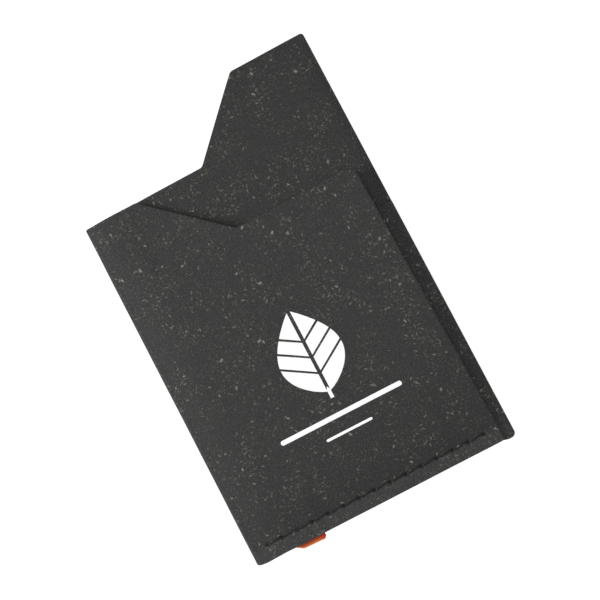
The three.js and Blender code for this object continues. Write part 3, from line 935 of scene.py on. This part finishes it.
    # cut edge: raw core, a touch darker and rougher
    rim = m.ramp(edge, 0.05, 0.0, 0.0, 1.0)
    core = m.mix(m.ramp(m.noise(flat, 3.4, 4.0, 0.7), 0.35, 0.7), (0.014, 0.014, 0.014), (0.036, 0.035, 0.033))
    base = m.mix(m.math("MULTIPLY", rim, 0.8), base, core)
    m.link(base, m.bsdf.inputs["Base Color"])
    rough = m.ramp(m.noise(flat, 2.2, 3.0, 0.6), 0.3, 0.7, 0.60, 0.74)
    m.link(rough, m.bsdf.inputs["Roughness"])
    m.bsdf.inputs["Specular IOR Level"].default_value = 0.34
    # pressed grain: small pebbles with creases between them, over a fine tooth
    vo = m.new("ShaderNodeTexVoronoi", voronoi_dimensions="3D", feature="SMOOTH_F1")
    m.link(p, vo.inputs["Vector"]); vo.inputs["Scale"].default_value = 2.3
    vo.inputs["Smoothness"].default_value = 0.55
    pebble = m.ramp(vo.outputs["Distance"], 0.15, 0.75, 1.0, 0.0)
    tooth = m.noise(flat, 9.0, 4.0, 0.65)
    h = m.math("ADD", m.math("MULTIPLY", pebble, 0.5), m.math("MULTIPLY", tooth, 0.8))
    h = m.math("ADD", h, m.math("MULTIPLY", m.math("ADD", f2, f3), 0.25))
    h = m.math("ADD", h, m.math("MULTIPLY", mottle, 1.0))
    b = m.new("ShaderNodeBump")
    b.inputs["Strength"].default_value = 0.42
    b.inputs["Distance"].default_value = 0.00006
    m.link(h, b.inputs["Height"])
    m.link(b.outputs[0], m.bsdf.inputs["Normal"])
    return m.mat


def thread_material():
    m = Nodes("sewing_thread_black")
    co = m.new("ShaderNodeTexCoord").outputs["Object"]
    n1 = m.noise(co, 5200.0, 3.0, 0.6)
    base = m.mix(m.ramp(n1, 0.3, 0.75), (0.0055, 0.0055, 0.006), (0.022, 0.022, 0.023))
    m.link(base, m.bsdf.inputs["Base Color"])
    m.bsdf.inputs["Roughness"].default_value = 0.58
    m.bsdf.inputs["Specular IOR Level"].default_value = 0.3
    b = m.new("ShaderNodeBump"); b.inputs["Strength"].default_value = 0.4
    b.inputs["Distance"].default_value = 0.00002
    m.link(n1, b.inputs["Height"]); m.link(b.outputs[0], m.bsdf.inputs["Normal"])
    return m.mat


def ribbon_material():
    m = Nodes("woven_ribbon_orange")
    flat = m.attr("flat_mm").outputs["Vector"]
    sep = m.new("ShaderNodeSeparateXYZ"); m.link(flat, sep.inputs[0])
    u, l = sep.outputs[0], sep.outputs[1]
    # ribs across the ribbon and fine warp threads along it
    weft = m.math("SINE", m.math("MULTIPLY", l, 2 * math.pi / 0.22))
    warp = m.math("SINE", m.math("MULTIPLY", u, 2 * math.pi / 0.13))
    weave = m.math("MULTIPLY", weft, warp)
    edge = m.ramp(u, 0.42, 0.30, 0.0, 1.0)
    n1 = m.noise(flat, 2.4, 3.0, 0.6)
    base = m.mix(m.ramp(n1, 0.3, 0.7), (0.58, 0.125, 0.014), (0.70, 0.180, 0.026))
    base = m.mix(m.ramp(weave, -0.6, 1.0, 0.0, 0.35), base, (0.36, 0.040, 0.006))
    # painted light on the ribbon: painted shade, deep and red, away from the fold towards the seam, and a painted
    # highlight, paler, on the fold and along the left woven edge
    away = m.math("ABSOLUTE", l)
    base = m.mix(m.ramp(away, 0.50, 1.20), base, (0.29, 0.030, 0.006))
    fold = m.ramp(away, 0.62, 0.25)
    base = m.mix(m.math("MULTIPLY", fold, 0.55), base, (0.80, 0.25, 0.045))
    base = m.mix(m.math("MULTIPLY", edge, 0.45), base, (0.74, 0.20, 0.030))
    # painted shade: the right end of the ribbon is painted deep red
    base = m.mix(m.math("MULTIPLY", m.ramp(u, 5.7, 6.8), 0.80), base, (0.50, 0.020, 0.004))
    m.link(base, m.bsdf.inputs["Base Color"])
    m.bsdf.inputs["Roughness"].default_value = 0.60
    m.bsdf.inputs["Specular IOR Level"].default_value = 0.25
    m.bsdf.inputs["Sheen Weight"].default_value = 0.10
    m.bsdf.inputs["Sheen Roughness"].default_value = 0.4
    m.bsdf.inputs["Subsurface Weight"].default_value = 0.15
    m.bsdf.inputs["Subsurface Radius"].default_value = (0.0006, 0.0002, 0.0001)
    m.bsdf.inputs["Subsurface Scale"].default_value = 1.0
    b = m.new("ShaderNodeBump"); b.inputs["Strength"].default_value = 0.55
    b.inputs["Distance"].default_value = 0.00004
    m.link(weave, b.inputs["Height"]); m.link(b.outputs[0], m.bsdf.inputs["Normal"])
    return m.mat


def ink_material():
    m = Nodes("screen_print_white")
    flat = m.attr("flat_mm").outputs["Vector"]
    n1 = m.noise(flat, 3.0, 4.0, 0.65)
    n2 = m.noise(flat, 9.0, 3.0, 0.6)
    base = m.mix(m.ramp(n1, 0.3, 0.75), (0.90, 0.90, 0.895), (0.96, 0.96, 0.96))
    base = m.mix(m.ramp(n2, 0.74, 0.88, 0.0, 0.25), base, (0.50, 0.50, 0.49))
    m.link(base, m.bsdf.inputs["Base Color"])
    m.bsdf.inputs["Roughness"].default_value = 0.6
    m.bsdf.inputs["Specular IOR Level"].default_value = 0.3
    b = m.new("ShaderNodeBump"); b.inputs["Strength"].default_value = 0.3
    b.inputs["Distance"].default_value = 0.00004
    m.link(n2, b.inputs["Height"]); m.link(b.outputs[0], m.bsdf.inputs["Normal"])
    return m.mat


mat_leather = leather_material()
mat_thread = thread_material()
mat_ribbon = ribbon_material()
mat_ink = ink_material()
for ob, mat in ((leather_front, mat_leather), (leather_back, mat_leather), (needle, mat_thread), (bobbin, mat_thread),
                (ribbon, mat_ribbon), (mark, mat_ink)):
    ob.data.materials.clear()
    ob.data.materials.append(mat)
for name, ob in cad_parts.items():
    ob.data.materials.clear()
    ob.data.materials.append(mat_thread if "thread" in name else mat_ribbon if "ribbon" in name else mat_leather)

# ------------------------------------------------------------------ how the pieces move
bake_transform(leather_front)
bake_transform(mark)
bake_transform(leather_back)
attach(needle, "holder")
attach(bobbin, "holder")
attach(ribbon, "holder")
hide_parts("front_panel", "front_corner", "left_fold")
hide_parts("back_panel", "back_tab", "right_fold", "inner_flap")
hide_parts("needle_thread")
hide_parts("bobbin_thread")
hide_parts("ribbon_tab")

# ------------------------------------------------------------------ floor, light, camera
def floor():
    me = bpy.data.meshes.new("floor")
    s = 6.0
    me.from_pydata([(-s, -s, 0), (s, -s, 0), (s, s, 0), (-s, s, 0)], [], [(0, 1, 2, 3)])
    ob = bpy.data.objects.new("floor", me)
    ob.location.z = -0.0038
    bpy.context.scene.collection.objects.link(ob)
    m = Nodes("studio_floor")
    m.bsdf.inputs["Base Color"].default_value = (0.12, 0.12, 0.12, 1)
    m.bsdf.inputs["Roughness"].default_value = 0.9
    m.bsdf.inputs["Specular IOR Level"].default_value = 0.1
    m.bsdf.inputs["Emission Color"].default_value = (1, 1, 1, 1)
    m.bsdf.inputs["Emission Strength"].default_value = 0.94
    me.materials.append(m.mat)
    return ob


floor()


def area_light(name, loc, target, size, power, color=(1, 1, 1)):
    li = bpy.data.lights.new(name, "AREA")
    li.shape = "DISK"
    li.size = size
    li.energy = power
    li.color = color
    ob = bpy.data.objects.new(name, li)
    ob.location = loc
    ob.rotation_mode = "QUATERNION"
    ob.rotation_quaternion = (Vector(target) - Vector(loc)).to_track_quat("-Z", "Y")
    bpy.context.scene.collection.objects.link(ob)
    return ob


world = bpy.data.worlds.new("studio")
bpy.context.scene.world = world
world.use_nodes = True
# dim overhead, bright near the horizon, like a studio with pale walls
wt = world.node_tree
w_dir = wt.nodes.new("ShaderNodeTexCoord")
w_sep = wt.nodes.new("ShaderNodeSeparateXYZ")
w_map = wt.nodes.new("ShaderNodeMapRange")
w_map.interpolation_type = "SMOOTHSTEP"
w_map.inputs["From Min"].default_value, w_map.inputs["From Max"].default_value = 0.24, 0.42
w_map.inputs["To Min"].default_value, w_map.inputs["To Max"].default_value = 1.0, 0.18
wt.links.new(w_dir.outputs["Generated"], w_sep.inputs[0])
wt.links.new(w_sep.outputs[2], w_map.inputs["Value"])
wt.nodes["Background"].inputs[0].default_value = (1, 1, 1, 1)
wt.links.new(w_map.outputs["Result"], wt.nodes["Background"].inputs[1])
area_light("key", (-0.52, 0.13, 0.47), (0, 0, 0), 0.36, 3.28)
area_light("overhead", (0.02, 0.02, 0.80), (0, 0, 0), 0.55, 2.9)

scene = bpy.context.scene
scene.view_settings.view_transform = "Standard"
scene.view_settings.look = "None"
scene.view_settings.exposure = 0.0
scene.view_settings.gamma = 1.0

cam = bpy.data.cameras.new("camera")
cam.lens = 55.0
cam.sensor_width = 36.0
cam.sensor_fit = "HORIZONTAL"
cam.dof.use_dof = False
cam.clip_start, cam.clip_end = 0.005, 20
cam_ob = bpy.data.objects.new("camera", cam)
scene.collection.objects.link(cam_ob)
scene.camera = cam_ob
# rows: camera right, up, backward in the row frame; then the place in metres
CAM_R = ((0.883036, -0.463937, -0.070785), (0.465938, 0.884707, 0.014002), (0.056128, -0.045346, 0.997393))
CAM_T = (0.015512, -0.011292, 0.208540)
cam_ob.matrix_world = Matrix((
    (CAM_R[0][0], CAM_R[1][0], CAM_R[2][0], CAM_T[0]),
    (CAM_R[0][1], CAM_R[1][1], CAM_R[2][1], CAM_T[1]),
    (CAM_R[0][2], CAM_R[1][2], CAM_R[2][2], CAM_T[2]),
    (0, 0, 0, 1)))
